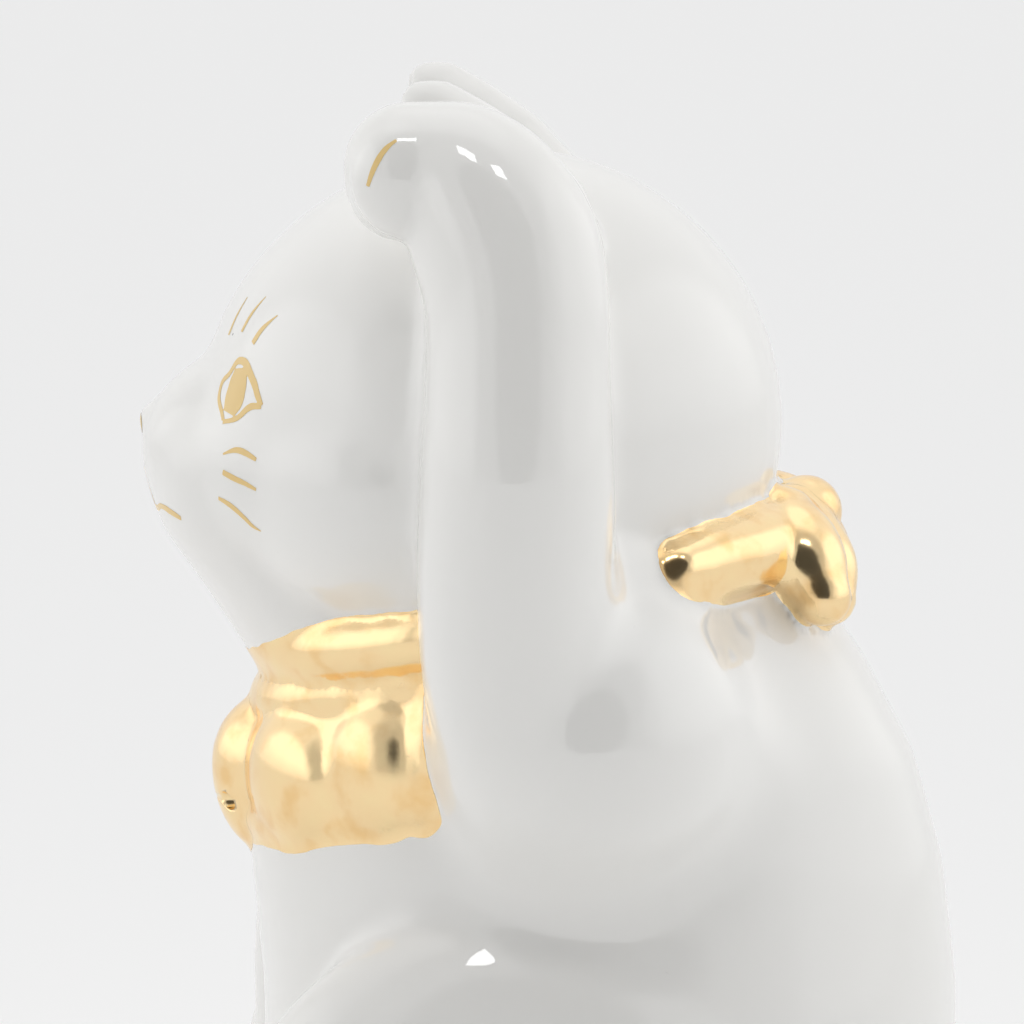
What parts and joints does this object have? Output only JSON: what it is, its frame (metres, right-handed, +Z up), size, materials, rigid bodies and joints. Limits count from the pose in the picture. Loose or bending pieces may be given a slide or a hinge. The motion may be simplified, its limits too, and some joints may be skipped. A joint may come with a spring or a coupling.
{
  "type": "beckoning cat figurine",
  "caption": "Hollow glazed porcelain figurine of a seated cat with a raised left paw, gilded collar, bib, bell and bow, and a flat base to stand on.",
  "frame": {"origin": "middle of the flat base, on the line that divides the cat's left from its right", "axes": "+Z up; the cat faces -Y; +X is the cat's left, the side of the raised paw"},
  "size_m": [0.1214, 0.1437, 0.2154],
  "materials": {
    "porcelain": "clear glossy glaze over white porcelain",
    "gold_lustre": "bright gold lustre fired on the glaze"
  },
  "bodies": {
    "root": {"torso_shell": "porcelain", "head_shell": "porcelain", "raised_left_arm": "porcelain", "right_foreleg": "porcelain", "left_ear": "porcelain", "right_ear": "porcelain", "left_haunch": "porcelain", "right_haunch": "porcelain", "left_hind_foot": "porcelain", "right_hind_foot": "porcelain", "tail": "porcelain", "collar": "gold_lustre", "bib": "gold_lustre", "bell": "gold_lustre", "bow_knot": "gold_lustre", "bow_loop_left": "gold_lustre", "bow_loop_right": "gold_lustre", "bow_tail_left": "gold_lustre", "bow_tail_right": "gold_lustre"}
  },
  "joints": []
}
